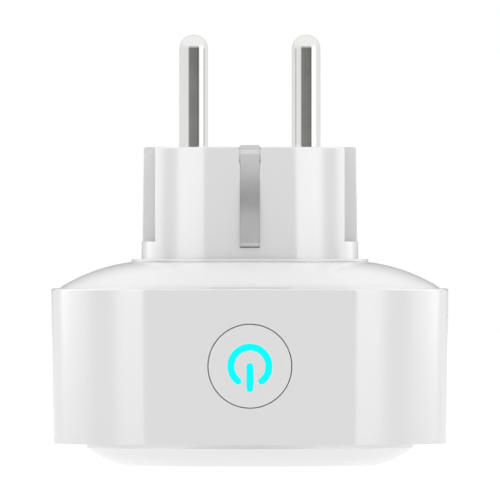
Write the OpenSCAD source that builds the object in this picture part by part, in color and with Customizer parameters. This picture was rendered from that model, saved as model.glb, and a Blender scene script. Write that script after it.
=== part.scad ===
// Smart plug: a round mains adapter with two round pins at the back, a recessed
// round-pin socket at the front and a lit push button on the flat of its side.
// The axis of the plug is Z. The socket's rim lies on z = 0, the pins point up,
// the pins stand side by side along X and the button looks towards -Y.

/* [Housing] */
// Radius of the round body at its upper edge
band_r = 33.55; // [33:0.05:42]
// How much smaller that radius is at the lower edge
band_draft = 0.35; // [0:0.05:0.8]
// Distance from the axis to the flats, one of which carries the button
flat_y = 28.6; // [28.4:0.1:31]
// Distance from the main board to the upper edge of the side
board_depth = 3.94; // [3.5:0.02:7]
// Height of the rounded shoulder at the socket side
shoulder_h = 3.04; // [2.6:0.02:3.6]
// Radius of the shoulder's curve
shoulder_curve_r = 19.6; // [17:0.1:24]
// Width of the flat land around the socket
rim_land = 0.35; // [0.2:0.05:1]
// Width of the ledge around the shoulder
ledge_w = 4.5; // [3.5:0.1:5.5]
// Height of the domed rear cover
dome_h = 4.46; // [3.8:0.02:5.4]
// Radius of the dome's curve
dome_curve_r = 30; // [26:0.5:40]
// Width of the ledge between the side and the dome
dome_ledge_w = 1.2; // [1:0.05:1.5]
// Wall of the front shell
shell_wall = 2; // [1.8:0.1:2.3]
// Wall of the rear cover
cover_wall = 1.6; // [1.2:0.1:1.8]

/* [Plug side] */
// Diameter of a contact pin
pin_d = 4.8; // [4:0.1:5.8]
// Distance between the two pins
pin_spacing = 19; // [18.5:0.5:20]
// Length of a pin beyond the plug's face
pin_len = 19; // [15:0.5:23]
// Radius of the plug body at its face
plug_r = 18.05; // [17.8:0.05:18.3]
// How much larger that radius is at the flange
plug_draft = 0.27; // [0:0.01:0.4]
// Height of the plug body above its flange
plug_h = 18.9; // [17:0.1:23]
// Distance from the axis to the plug body's earth flats
plug_flat_y = 16.67; // [16.5:0.01:16.9]
// Radius of the flange
flange_r = 20; // [19.6:0.1:20.5]
// Thickness of the flange
flange_t = 0.5; // [0.4:0.1:1]
// Thickness of the plug body's face
face_t = 2.6; // [2:0.1:3]
// Width of each guide channel
channel_w = 4.6; // [4.4:0.1:5]
// Distance from the axis to the floor of a guide channel
channel_x = 15.97; // [15.9:0.01:16.2]
// Length of a guide channel from the face
channel_len = 15.94; // [13:0.1:16.4]
// Thickness of the fin on each side of a channel
fin_t = 0.8; // [0.6:0.1:1]
// Width of an earth clip
clip_w = 3.25; // [2.8:0.05:4]

/* [Socket side] */
// Diameter of the round recess
recess_d = 39; // [38.8:0.1:39.4]
// Depth of the recess
recess_depth = 17.5; // [14.5:0.1:21]
// Wall of the recess cup
cup_wall = 1.2; // [1:0.1:1.3]
// Thickness of the cup's floor
cup_floor = 2; // [1.8:0.1:2.4]
// How much wider a pin hole is than a pin
pin_hole_play = 0.8; // [0.4:0.1:1]
// Thickness of the shutter disc
shutter_t = 1.8; // [1.6:0.1:2.4]

/* [Button] */
// Diameter of the button
button_d = 14.1; // [13:0.1:17]
// How far the button's centre lies above the middle of the side
button_rise = 0.45; // [-1:0.05:1]
// Gap around the button
button_gap = 0.15; // [0.12:0.01:0.2]
// Thickness of the button's front
button_t = 1.2; // [1:0.1:1.3]
// How far the button travels
button_travel = 0.4; // [0.2:0.05:0.4]
// Middle radius of the icon's ring
icon_r = 3.2; // [3:0.05:3.3]
// Width of the icon's strokes
icon_w = 1.15; // [0.9:0.05:1.3]
// Half the angle of the gap in the icon's ring
icon_gap = 38; // [30:1:45]
// Length of the icon's bar
icon_bar_len = 4.9; // [4:0.1:5]
// How far the bar reaches above the button's centre
icon_bar_up = 0.55; // [0.3:0.05:0.8]

/* [Electronics] */
// Thickness of the main board
board_t = 1.6; // [1.2:0.1:1.8]
// Space between the contact carrier and the main board
board_space = 2.3; // [2:0.1:3]
// Thickness of the button board
button_board_t = 1; // [0.8:0.1:1]
// Thickness of the bent metal strips
strip_t = 0.7; // [0.6:0.05:0.7]

/* [Fits] */
// Clearance between pieces that fit into each other
fit_gap = 0.1; // [0.08:0.01:0.15]
// Radial clearance of the shutter on its pivot
run_gap = 0.06; // [0.04:0.01:0.1]
// Clearance around metal that is pressed or screwed into plastic
press_gap = 0.03; // [0.02:0.01:0.05]

/* [Hidden] */

$fn = 96;
small_fn = 48;

// Radii of the socket cup and the pins
recess_r = recess_d / 2;
cup_r = recess_r + cup_wall;
opening_r = cup_r + fit_gap;
rim_r = opening_r + rim_land;
pin_x = pin_spacing / 2;
pin_r = pin_d / 2;
pin_hole_r = (pin_d + pin_hole_play) / 2;

// Levels along the axis, from the rim to the pin tips
cup_back_z = recess_depth + cup_floor;
shutter_z = cup_back_z + fit_gap;
carrier_z = shutter_z + shutter_t + 0.3;
carrier_t = 2;
tulip_z = carrier_z + carrier_t;
board_z = tulip_z + board_space;
board_top_z = board_z + board_t;
band_z = shoulder_h;
band_top_z = board_z + board_depth;
dome_top_z = band_top_z + dome_h;
plug_z = dome_top_z + flange_t;
face_z = plug_z + plug_h;
plate_z = face_z - face_t;
tip_z = face_z + pin_len;
button_z = (band_z + band_top_z) / 2 + button_rise;

// Front shell
band_bottom_r = band_r - band_draft;
edge_r = band_bottom_r - 1.1;
chamfer_h = 0.66;
flat_chamfer = 0.9;
inner_r = band_bottom_r - shell_wall;
boss_r = 2.4;

// Rear cover
rebate_z = band_top_z - 2.94;
cover_r = band_r - dome_ledge_w;
cover_y = flat_y - dome_ledge_w + 0.05;
vault_curve_r = 10.4;
vault_top_y = flange_r + 0.4;
mouth_r = 15.6;
latch_angles = [25, 155, 205, 335];
latch_span = 12;
latch_h = 1;
latch_rise = 0.4;

// Screws that hold the plug body to the rear cover
plug_screw_r = 14;
plug_screw_thread_r = 1;
plug_screw_len = 8;
lug_r = 3;
plug_boss_r = 2.2;
seat_t = 0.8;

// Shutter chamber and contact carrier
collar_r = 15.2;
collar_t = 1.2;
shutter_r = collar_r - collar_t - 0.4;
window_r = pin_hole_r + 0.3;
shutter_turn = 2 * asin((pin_hole_r + window_r + 0.25) / pin_spacing);
pivot_r = 3;
spring_well_r = 5.5;
spring_well_floor = 0.45;
centre_screw_r = 1.5;
centre_head_r = 2.8;
centre_head_h = 1.3;
centre_screw_z = recess_depth + centre_head_h + fit_gap;
centre_screw_len = 10;
hub_r = 3.2;
hub_top_z = centre_screw_z + centre_screw_len + 1;
tulip_wall = 0.7;
tulip_r = pin_r + tulip_wall;
tulip_len = 11.5;
turret_bore_r = tulip_r + 0.3;
turret_r = turret_bore_r + 1.5;
contact_z = board_top_z + 0.3;
turret_top_z = contact_z + 1.2;
contact_w = 4;

// Cup fixing tabs
tab_r = cup_r + 4.3;
tab_z = 8.5;
tab_t = 2;
tab_half_w = 2.6;
tab_angles = [60, 120, 210, 330];
tab_screw_thread_r = 1.1;
tab_screw_len = 6.4;

// Main board
board_r = cover_r - cover_wall - 0.7;
board_rear_y = cover_y - cover_wall - 0.45;
window_x = pin_x + turret_r + 0.6;
window_y = turret_r + 0.5;
post_y = board_rear_y - 6.3;
post_x = sqrt(pow(inner_r - 4.2, 2) - post_y * post_y);
board_screw_thread_r = 1.1;
board_screw_len = 6;

// Plug body
cavity_r = mouth_r;
cavity_x = channel_x - 1.57;
cavity_y = plug_flat_y - 1.77;
channel_z = face_z - channel_len;
clip_bottom_z = plug_z + 1.9;
clip_slot_y = plug_flat_y - 0.97;
clip_top_gap = 0.2;
clip_top_len = 2.7;

// Pins and their straps
shank_r = pin_r + 0.3;
pin_collar_r = pin_r + 1;
pin_collar_t = 1.2;
pin_collar_z = plate_z - pin_collar_t;
tail_r = 1.5;
tail_len = 5.6;
strap_z = pin_collar_z - tail_len + 1.4;
strap_y = turret_r + 1;
strap_w = 5;

// Earth parts
leaf_w = 4;
leaf_y = 16.5;
leaf_t = 0.6;
leaf_end_z = board_top_z + 2.6;
clip_tail_y = cavity_y - 0.15 - strip_t / 2;
clip_foot_y = leaf_y - leaf_t / 2 - strip_t / 2;
earth_ring_t = 0.8;

// Button group: depths are measured from the flat inwards
button_r = button_d / 2;
hole_r = button_r + button_gap;
collar_wall = 1.2;
collar_end = shell_wall + 2.05;
skirt_in_r = button_r - 1.15;
guide_t = 0.5;
guide_end = button_t + guide_t;
guide_r = skirt_in_r - fit_gap;
lip_r = button_r + 0.85;
lip_start = collar_end + 0.05;
lip_t = 0.8;
button_board_depth = lip_start + lip_t + button_travel + 0.4;
button_post_r = 2.2;
button_post_x = hole_r + collar_wall + button_post_r + 0.4;
button_board_x = button_post_x + 2;
button_board_below = 7;
button_screw_thread_r = 1;
button_screw_len = 4.2;
switch_w = 6;
switch_h = 2.6;
switch_start = button_board_depth - switch_h;
plunger_r = 1.7;
plunger_start = guide_end + 0.05;
plunger_end = switch_start + 1;
button_spring_wire = 0.2;
button_spring_r = skirt_in_r - 0.25 - button_spring_wire;
main_board_front_y = flat_y - button_board_depth - fit_gap;

// Parts on the main board
relay_size = [7, 18, 15.3];
relay_x = cup_r + 1.3;
main_cap_r = 4;
main_cap_h = 16;
output_cap_r = 4;
output_cap_h = 12;
film_size = [13, 3.8, 9];
film_y = cup_r + 0.7;
choke_r = 3.3;
choke_h = 9;
varistor_r = 3.75;
varistor_t = 3.6;
fuse_size = [4, 8.5, 8];
module_w = 15;
module_h = 16.5;
module_t = 0.8;
module_y = -window_y - 0.4;
header_size = [10.2, 2.5, 2.5];

// ---------- shared shapes ----------

function left_of(a, b) = let (d = b - a) [-d[1], d[0]] / norm(d);

// Centre of the arc of radius r that runs from p to q with the centre on its left
function arc_centre(p, q, r) =
    (p + q) / 2 + left_of(p, q) * sqrt(r * r - pow(norm(q - p) / 2, 2));

// One side of a bent strip, at a distance off from its middle line
function strip_side(path, off) = [
    for (i = [0 : len(path) - 1])
    let (before = left_of(path[max(i - 1, 0)], path[max(i, 1)]),
         after = i < len(path) - 1 ? left_of(path[i], path[i + 1]) : before,
         mid = (before + after) / norm(before + after))
    path[i] + mid * off / (mid * before)];

function strip_outline(path, t) =
    let (far = strip_side(path, -t / 2))
    concat(strip_side(path, t / 2), [for (i = [len(far) - 1 : -1 : 0]) far[i]]);

// A strip bent in the YZ plane, w wide along X, its path given as [y, z] points
module strip_in_yz(path, t, w) {
    rotate([90, 0, 90]) linear_extrude(w, center = true)
        polygon(strip_outline(path, t));
}

// The same, bent in the XZ plane, with its path given as [x, z] points
module strip_in_xz(path, t, w) {
    rotate([90, 0, 0]) linear_extrude(w, center = true)
        polygon(strip_outline(path, t));
}

module box_between(a, b) {
    translate(a) cube(b - a);
}

module tube(r_out, r_in, h) {
    difference() {
        cylinder(r = r_out, h = h);
        translate([0, 0, -1]) cylinder(r = r_in, h = h + 2);
    }
}

// A flat-sided disc: a circle of radius r between y = low and y = high
module flat_sided_disc(r, low, high, h) {
    linear_extrude(h) intersection() {
        circle(r);
        translate([-2 * r, low]) square([4 * r, high - low]);
    }
}

// Puts its children on the button's axis, z = 0 on the flat and +z pointing inwards
module on_button_axis() {
    translate([0, -flat_y, button_z]) rotate([-90, 0, 0]) children();
}

module at_angle(a, r) {
    rotate([0, 0, a]) translate([r, 0, 0]) children();
}

// A pan-head screw whose head stands on z = 0 and whose thread points down
module screw(r, len, head_r, head_h) {
    slot_l = 1.3 * head_r;
    slot_w = 0.3 * head_r;
    difference() {
        union() {
            cylinder(r = head_r, h = head_h, $fn = small_fn);
            translate([0, 0, -len]) cylinder(r = r, h = len + 0.1, $fn = small_fn);
        }
        for (a = [0, 90]) rotate([0, 0, a])
            translate([-slot_l / 2, -slot_w / 2, head_h * 0.45])
                cube([slot_l, slot_w, head_h]);
    }
}

// A round wire wound along +Z
module coil(mean_r, wire_r, turns, h) {
    steps = 20;
    sides = 8;
    n = turns * steps;
    rise = h - 2 * wire_r;
    points = [for (i = [0 : n]) for (j = [0 : sides - 1])
        let (a = 360 * i / steps, b = 360 * j / sides, r = mean_r + wire_r * cos(b))
        [r * cos(a), r * sin(a), wire_r + rise * i / n + wire_r * sin(b)]];
    walls = [for (i = [0 : n - 1]) for (j = [0 : sides - 1])
        let (k = (j + 1) % sides)
        [i * sides + j, i * sides + k, (i + 1) * sides + k, (i + 1) * sides + j]];
    ends = [[for (j = [sides - 1 : -1 : 0]) j], [for (j = [0 : sides - 1]) n * sides + j]];
    polyhedron(points, concat(walls, ends));
}

module can(r, h) {
    cylinder(r = r, h = h, $fn = small_fn);
}

// ---------- housing ----------

// Solid form of the front shell with every outer side moved in by t
module shell_form(t) {
    ledge_r = edge_r - ledge_w;
    top_z = band_top_z + 3 * t;
    flat_in = flat_y - flat_chamfer - t;
    centre = arc_centre([rim_r, 0], [ledge_r, shoulder_h], shoulder_curve_r);
    intersection() {
        rotate_extrude() {
            intersection() {
                translate(centre) circle(shoulder_curve_r - t);
                translate([0, t]) square([ledge_r + 3, band_z + 0.4]);
            }
            translate([0, t]) square([centre[0], band_z + 0.4]);
            polygon([[0, band_z + t], [edge_r - t, band_z + t],
                [band_bottom_r - t, band_z + chamfer_h + t],
                [band_r - t, top_z], [0, top_z]]);
        }
        rotate([90, 0, 90]) linear_extrude(4 * band_r, center = true)
            polygon([[-flat_in, 0], [flat_in, 0], [flat_in, band_z + t],
                [flat_y - t, band_z + chamfer_h + t], [flat_y - t, top_z],
                [t - flat_y, top_z], [t - flat_y, band_z + chamfer_h + t],
                [-flat_in, band_z + t]]);
    }
}

// The latches of the rear cover, or their pockets when grow is above 0
module latches(grow) {
    for (a = latch_angles) rotate([0, 0, a - latch_span / 2 - grow * 2])
        rotate_extrude(angle = latch_span + grow * 4)
            translate([cover_r - 0.5, rebate_z + 0.9 - grow])
                square([0.5 + latch_rise + grow, latch_h + 2 * grow]);
}

module board_posts(r, low, high) {
    for (x = [-post_x, post_x]) for (y = [-post_y, post_y])
        translate([x, y, low]) cylinder(r = r, h = high - low, $fn = small_fn);
}

module front_shell() {
    collar_in = shell_wall - 0.5;
    color("white") difference() {
        union() {
            difference() {
                shell_form(0);
                shell_form(shell_wall);
                translate([0, 0, rebate_z])
                    flat_sided_disc(cover_r + fit_gap, -cover_y - fit_gap,
                        cover_y + fit_gap, band_top_z);
            }
            intersection() {
                shell_form(1);
                union() {
                    board_posts(boss_r, 0, board_z);
                    for (a = tab_angles) at_angle(a, tab_r)
                        cylinder(r = boss_r, h = tab_z, $fn = small_fn);
                }
            }
            on_button_axis() {
                translate([0, 0, collar_in])
                    cylinder(r = hole_r + collar_wall, h = collar_end - collar_in);
                for (x = [-button_post_x, button_post_x]) translate([x, 0, collar_in])
                    cylinder(r = button_post_r, h = button_board_depth - collar_in,
                        $fn = small_fn);
            }
        }
        translate([0, 0, -1]) cylinder(r = opening_r, h = 5);
        on_button_axis() {
            translate([0, 0, -1]) cylinder(r = hole_r, h = collar_end + 2);
            for (x = [-button_post_x, button_post_x])
                translate([x, 0, button_board_depth + button_board_t - button_screw_len - 0.1])
                    cylinder(r = button_screw_thread_r + press_gap, h = 5, $fn = small_fn);
        }
        board_posts(board_screw_thread_r + press_gap,
            board_top_z - board_screw_len - 0.2, board_top_z);
        for (a = tab_angles) at_angle(a, tab_r)
            translate([0, 0, tab_z + tab_t - tab_screw_len - 0.2])
                cylinder(r = tab_screw_thread_r + press_gap, h = tab_screw_len,
                    $fn = small_fn);
        latches(fit_gap);
    }
}

// Points up a wall at x = side and on round an arc about c to the height top
function domed_side(c, r, side, low, top) =
    let (steps = 9, start = acos((side - c[0]) / r), end = asin((top - c[1]) / r))
    concat([[side, low]], [for (i = [0 : steps])
        let (a = start + (end - start) * i / steps) c + r * [cos(a), sin(a)]]);

// Solid form of the rear cover, skirt and dome, with its curved sides moved in by t
module cover_form(t) {
    round_centre = arc_centre([cover_r, band_top_z], [flange_r, dome_top_z], dome_curve_r);
    vault_centre = arc_centre([cover_y, band_top_z], [vault_top_y, dome_top_z],
        vault_curve_r);
    low = rebate_z - t;
    top = dome_top_z - t;
    vault_side = domed_side(vault_centre, vault_curve_r - t, cover_y - t, low, top);
    intersection() {
        rotate_extrude() polygon(concat([[0, top], [0, low]],
            domed_side(round_centre, dome_curve_r - t, cover_r - t, low, top)));
        rotate([90, 0, 90]) linear_extrude(4 * band_r, center = true)
            polygon(concat(vault_side, [for (i = [len(vault_side) - 1 : -1 : 0])
                [-vault_side[i][0], vault_side[i][1]]]));
    }
}

module at_plug_screws() {
    for (a = [45, 135, 225, 315]) at_angle(a, plug_screw_r) children();
}

module rear_cover() {
    plate_low = dome_top_z - cover_wall;
    color("white") difference() {
        union() {
            difference() {
                cover_form(0);
                cover_form(cover_wall);
                translate([0, 0, plate_low - 1]) cylinder(r = mouth_r, h = cover_wall + 2);
            }
            at_plug_screws() translate([0, 0, plate_low])
                cylinder(r = lug_r, h = cover_wall, $fn = small_fn);
            latches(0);
        }
        at_plug_screws() {
            translate([0, 0, plate_low - 1])
                cylinder(r = plug_screw_thread_r + 0.25, h = cover_wall + 2, $fn = small_fn);
            translate([0, 0, dome_top_z - seat_t])
                cylinder(r = plug_boss_r + fit_gap, h = seat_t + 1, $fn = small_fn);
        }
    }
}

// ---------- plug side ----------

module plug_form() {
    intersection() {
        translate([0, 0, plug_z])
            cylinder(r1 = plug_r + plug_draft, r2 = plug_r, h = plug_h);
        box_between([-flange_r, -plug_flat_y, plug_z - 1],
            [flange_r, plug_flat_y, face_z + 1]);
    }
}

module plug_body() {
    fin_y = channel_w / 2 + fin_t;
    color("white") difference() {
        union() {
            difference() {
                union() {
                    plug_form();
                    translate([0, 0, dome_top_z]) cylinder(r = flange_r, h = flange_t);
                }
                intersection() {
                    translate([0, 0, dome_top_z - 1])
                        cylinder(r = cavity_r, h = plate_z - dome_top_z + 1);
                    box_between([-cavity_x, -cavity_y, dome_top_z - 1],
                        [cavity_x, cavity_y, plate_z]);
                }
            }
            at_plug_screws() translate([0, 0, dome_top_z - seat_t])
                cylinder(r = plug_boss_r, h = plug_screw_len + 3, $fn = small_fn);
        }
        // guide channels, and the flats beside their fins
        for (s = [0, 180]) rotate([0, 0, s]) {
            box_between([channel_x, -channel_w / 2, channel_z],
                [flange_r, channel_w / 2, face_z + 1]);
            for (m = [0, 1]) mirror([0, m, 0])
                box_between([channel_x, fin_y, channel_z], [flange_r, flange_r, face_z + 1]);
        }
        for (x = [-pin_x, pin_x]) translate([x, 0, plate_z - 1])
            cylinder(r = shank_r + press_gap, h = face_t + 2);
        for (m = [0, 1]) mirror([0, m, 0]) clip_channel();
        at_plug_screws() translate([0, 0, dome_top_z - seat_t - 1])
            cylinder(r = plug_screw_thread_r + press_gap, h = plug_screw_len + 2,
                $fn = small_fn);
    }
}

// Room for an earth clip: the channel on the flat, the slot through the wall
// behind its foot and the notch over the edge of the face
module clip_channel() {
    half = clip_w / 2 + press_gap;
    top_half = clip_w / 2 + clip_top_gap;
    box_between([-half, clip_slot_y, clip_bottom_z], [half, flange_r, face_z - 1]);
    box_between([-top_half, clip_slot_y, face_z - clip_top_len],
        [top_half, flange_r, face_z + 1]);
    box_between([-half, cavity_y - 1, clip_bottom_z], [half, clip_slot_y + 1, clip_bottom_z + 1.7]);
    box_between([-top_half, clip_slot_y - 3, face_z - 0.45],
        [top_half, clip_slot_y + 1, face_z + 1]);
}

// An earth clip: over the edge of the face, bowed down the flat, in through the
// wall and down to the socket's earth spring
module earth_clip() {
    top_z = face_z - 0.05;
    color("silver") strip_in_yz([[13.2, top_z], [15.9, top_z], [16.45, top_z - 0.6],
        [16.85, face_z - 5], [16.9, face_z - 9], [16.6, clip_bottom_z + 1.8],
        [15.9, clip_bottom_z + 0.8], [clip_tail_y, clip_bottom_z + 0.55],
        [clip_tail_y, leaf_end_z + 1.4], [clip_foot_y, leaf_end_z],
        [clip_foot_y, leaf_end_z - 1.8]], strip_t, clip_w);
}

module earth_clip_rear() {
    earth_clip();
}

module earth_clip_front() {
    mirror([0, 1, 0]) earth_clip();
}

module pin(x) {
    color("gainsboro") translate([x, 0, 0]) {
        translate([0, 0, face_z]) cylinder(r = pin_r, h = pin_len - pin_r);
        translate([0, 0, pin_collar_z]) cylinder(r = shank_r, h = face_z - pin_collar_z);
        translate([0, 0, tip_z - pin_r]) sphere(r = pin_r);
        translate([0, 0, pin_collar_z]) cylinder(r = pin_collar_r, h = pin_collar_t);
        translate([0, 0, pin_collar_z - tail_len])
            cylinder(r = tail_r, h = tail_len + 0.5, $fn = small_fn);
    }
}

module pin_live() {
    pin(pin_x);
}

module pin_neutral() {
    pin(-pin_x);
}

// A strip that is riveted on a pin's tail and soldered on the main board
module strap(x) {
    foot_z = board_top_z + strip_t / 2;
    color("goldenrod") translate([x, 0, 0]) difference() {
        strip_in_yz([[-2.6, strap_z], [strap_y, strap_z], [strap_y, foot_z],
            [strap_y + 2, foot_z]], strip_t, strap_w);
        translate([0, 0, strap_z - 2])
            cylinder(r = tail_r + press_gap, h = 4, $fn = small_fn);
    }
}

module strap_live() {
    strap(pin_x);
}

module strap_neutral() {
    strap(-pin_x);
}

module plug_screws() {
    color("gray") at_plug_screws() translate([0, 0, dome_top_z - cover_wall])
        rotate([180, 0, 0]) screw(plug_screw_thread_r, plug_screw_len, 2, 1.4);
}

// ---------- socket side ----------

module cup_tab(a) {
    at_angle(a, 0) {
        box_between([cup_r - 0.6, -tab_half_w, tab_z], [tab_r, tab_half_w, tab_z + tab_t]);
        translate([tab_r, 0, tab_z]) cylinder(r = tab_half_w, h = tab_t, $fn = small_fn);
    }
}

module socket_cup() {
    rib_w = channel_w - 0.6;
    rib_x = channel_x + 0.4;
    color("white") difference() {
        union() {
            cylinder(r = cup_r, h = cup_back_z);
            for (a = tab_angles) cup_tab(a);
            translate([0, 0, cup_back_z - 0.5])
                tube(collar_r, collar_r - collar_t, carrier_z - cup_back_z + 0.5);
            translate([0, 0, recess_depth + 0.5])
                cylinder(r = pivot_r, h = carrier_z - recess_depth - 0.5, $fn = small_fn);
        }
        // the recess, with a guide rib left standing at each side
        difference() {
            translate([0, 0, -1]) cylinder(r = recess_r, h = recess_depth + 1);
            for (s = [0, 180]) rotate([0, 0, s])
                box_between([rib_x, -rib_w / 2, 1], [cup_r, rib_w / 2, cup_back_z]);
        }
        for (x = [-pin_x, pin_x]) translate([x, 0, recess_depth - 1])
            cylinder(r = pin_hole_r, h = cup_floor + 2);
        translate([0, 0, recess_depth - 1])
            cylinder(r = centre_head_r + 0.2, h = centre_screw_z - recess_depth + 1,
                $fn = small_fn);
        translate([0, 0, recess_depth])
            cylinder(r = centre_screw_r + 0.15, h = carrier_z, $fn = small_fn);
        for (s = [-1, 1]) translate([0, s * leaf_y, cup_back_z])
            cube([leaf_w + 2 * fit_gap, leaf_t + 2 * fit_gap, 3 * cup_floor], center = true);
        for (a = tab_angles) at_angle(a, tab_r) translate([0, 0, tab_z - 1])
            cylinder(r = tab_screw_thread_r + 0.2, h = tab_t + 2, $fn = small_fn);
    }
}

module cup_screws() {
    color("gray") for (a = tab_angles) at_angle(a, tab_r)
        translate([0, 0, tab_z + tab_t]) screw(tab_screw_thread_r, tab_screw_len, 2.1, 1.6);
}

// The child-safety disc. At rest its webs lie behind the pin holes; turned by
// shutter_turn its two windows do
module shutter() {
    ramp_turn = shutter_turn / 2;
    color("whitesmoke") difference() {
        translate([0, 0, shutter_z]) cylinder(r = shutter_r, h = shutter_t);
        translate([0, 0, shutter_z - 1]) cylinder(r = pivot_r + run_gap, h = shutter_t + 2);
        for (s = [0, 180]) at_angle(s - shutter_turn, pin_x)
            translate([0, 0, shutter_z - 1]) cylinder(r = window_r, h = shutter_t + 2);
        // ramps that the pins ride down as they push the disc round
        for (s = [0, 180]) at_angle(s - ramp_turn, pin_x)
            translate([0, 0, shutter_z]) rotate([18, 0, 0])
                cube([3, 4, 1.2], center = true);
        translate([0, 0, shutter_z + spring_well_floor])
            cylinder(r = spring_well_r, h = shutter_t);
        for (s = [60, 240]) at_angle(s, shutter_r) translate([0, 0, shutter_z - 1])
            cylinder(r = 2.5, h = shutter_t + 2, $fn = small_fn);
    }
}

module shutter_spring() {
    color("silver") translate([0, 0, shutter_z + spring_well_floor + 0.05])
        coil(4.3, 0.2, 1.5, shutter_t - spring_well_floor);
}

module contact_carrier() {
    color("ivory") difference() {
        union() {
            translate([0, 0, carrier_z]) cylinder(r = collar_r - 0.2, h = carrier_t);
            for (x = [-pin_x, pin_x]) translate([x, 0, carrier_z])
                cylinder(r = turret_r, h = turret_top_z - carrier_z);
            translate([0, 0, carrier_z])
                cylinder(r = hub_r, h = hub_top_z - carrier_z, $fn = small_fn);
        }
        for (s = [0, 180]) rotate([0, 0, s]) {
            translate([pin_x, 0, carrier_z - 1]) cylinder(r = pin_hole_r, h = carrier_t + 2);
            translate([pin_x, 0, tulip_z])
                cylinder(r = turret_bore_r, h = turret_top_z - carrier_z);
            box_between([pin_x + pin_r, -contact_w / 2 - fit_gap, contact_z - fit_gap],
                [window_x, contact_w / 2 + fit_gap, turret_top_z + 1]);
        }
        translate([0, 0, carrier_z - 1])
            cylinder(r = centre_screw_r + press_gap,
                h = centre_screw_z + centre_screw_len + 0.2 - carrier_z + 1, $fn = small_fn);
    }
}

module centre_screw() {
    color("silver") translate([0, 0, centre_screw_z]) rotate([180, 0, 0])
        screw(centre_screw_r, centre_screw_len, centre_head_r, centre_head_h);
}

// A four-leaf contact for one pin, with the tongue that joins it to the board
module contact() {
    slit_z = turret_top_z + 0.4;
    tongue_z = contact_z + strip_t / 2;
    tongue_x = window_x + 1.5;
    color("goldenrod") difference() {
        union() {
            translate([pin_x, 0, tulip_z]) tube(tulip_r, pin_r, tulip_len);
            strip_in_xz([[pin_x + pin_r + 0.1, tongue_z], [tongue_x, tongue_z],
                [tongue_x, board_z - 1]], strip_t, contact_w);
        }
        for (a = [45, 135]) translate([pin_x, 0, slit_z]) rotate([0, 0, a])
            translate([-tulip_r - 1, -0.3, 0]) cube([2 * tulip_r + 2, 0.6, tulip_len]);
    }
}

module contact_live() {
    contact();
}

module contact_neutral() {
    rotate([0, 0, 180]) contact();
}

// A bowed leaf in the recess whose tail runs up to meet the earth clip
module earth_spring() {
    color("silver") strip_in_yz([[17.5, 2.2], [16.3, 4.2], [15.75, 6], [15.6, 8],
        [15.85, 10.5], [leaf_y, 13.5], [leaf_y, leaf_end_z]], leaf_t, leaf_w);
}

module earth_spring_rear() {
    earth_spring();
}

module earth_spring_front() {
    mirror([0, 1, 0]) earth_spring();
}

// The ring that joins the two earth springs behind the cup
module earth_ring() {
    color("silver") difference() {
        translate([0, 0, cup_back_z]) tube(18.6, collar_r + 0.2, earth_ring_t);
        for (s = [-1, 1]) translate([0, s * leaf_y, cup_back_z])
            cube([leaf_w + 2 * press_gap, leaf_t + 2 * press_gap, 4], center = true);
    }
}

// ---------- electronics ----------

module main_board() {
    color("seagreen") difference() {
        translate([0, 0, board_z])
            flat_sided_disc(board_r, -main_board_front_y, board_rear_y, board_t);
        box_between([-window_x, -window_y, board_z - 1],
            [window_x, window_y, board_top_z + 1]);
        for (s = [-1, 1]) {
            translate([0, s * leaf_y, board_z])
                cube([leaf_w + 1, leaf_t + 0.6, 4 * board_t], center = true);
            translate([s * (window_x + 1.5), 0, board_z])
                cube([strip_t + 2 * press_gap, contact_w + 2 * press_gap, 4 * board_t],
                    center = true);
        }
        board_posts(board_screw_thread_r + 0.2, board_z - 1, board_top_z + 1);
    }
}

module board_screws() {
    color("gray") for (x = [-post_x, post_x]) for (y = [-post_y, post_y])
        translate([x, y, board_top_z]) screw(board_screw_thread_r, board_screw_len, 2.1, 1.5);
}

module relay() {
    color("royalblue") translate([relay_x, -relay_size[1] / 2, board_z - relay_size[2]])
        cube(relay_size);
}

module capacitor_main() {
    color("midnightblue") translate([0, main_cap_r + window_y, board_top_z])
        can(main_cap_r, main_cap_h);
}

module capacitor_output() {
    color("black") at_angle(166, cup_r + 1.5 + output_cap_r)
        translate([0, 0, board_z - output_cap_h]) can(output_cap_r, output_cap_h);
}

module capacitor_film() {
    color("gold") translate([-2, film_y, board_z - film_size[2]]) cube(film_size);
}

module choke() {
    flange = 1.4;
    color("dimgray") at_angle(148, cup_r + 1.8 + choke_r)
        translate([0, 0, board_z - choke_h]) {
            can(choke_r, flange);
            can(choke_r - 0.6, choke_h);
            translate([0, 0, choke_h - flange]) can(choke_r, flange);
        }
}

module varistor() {
    color("steelblue") translate([-8.5, film_y, board_z - varistor_r - 0.8]) {
        rotate([-90, 0, 0]) cylinder(r = varistor_r, h = varistor_t, $fn = small_fn);
        for (x = [-2.5, 2.5]) translate([x - 0.3, varistor_t / 2 - 0.3, 0])
            cube([0.6, 0.6, varistor_r + 0.8]);
    }
}

module fuse() {
    color("tan") at_angle(203, cup_r + 4.8)
        translate([-fuse_size[0] / 2, -fuse_size[1] / 2, board_z - fuse_size[2]])
            cube(fuse_size);
}

// The radio's own small board, standing on the main board, and its shield can
module wireless_module() {
    color("teal") translate([-module_w / 2, module_y - module_t, board_top_z])
        cube([module_w, module_t, module_h]);
    color("silver") translate([-5, module_y - module_t - 1.8, board_top_z + 1.5])
        cube([10, 2, 9]);
}

module button_board() {
    front = -flat_y + button_board_depth;
    color("seagreen") difference() {
        box_between([-button_board_x, front, button_z - button_board_below],
            [button_board_x, front + button_board_t, board_z - 1]);
        for (x = [-button_post_x, button_post_x]) on_button_axis()
            translate([x, 0, button_board_depth - 1])
                cylinder(r = button_screw_thread_r + 0.2, h = 4, $fn = small_fn);
    }
}

module button_board_screws() {
    color("gray") for (x = [-button_post_x, button_post_x]) on_button_axis()
        translate([x, 0, button_board_depth + button_board_t])
            screw(button_screw_thread_r, button_screw_len, 1.9, 1);
}

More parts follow.
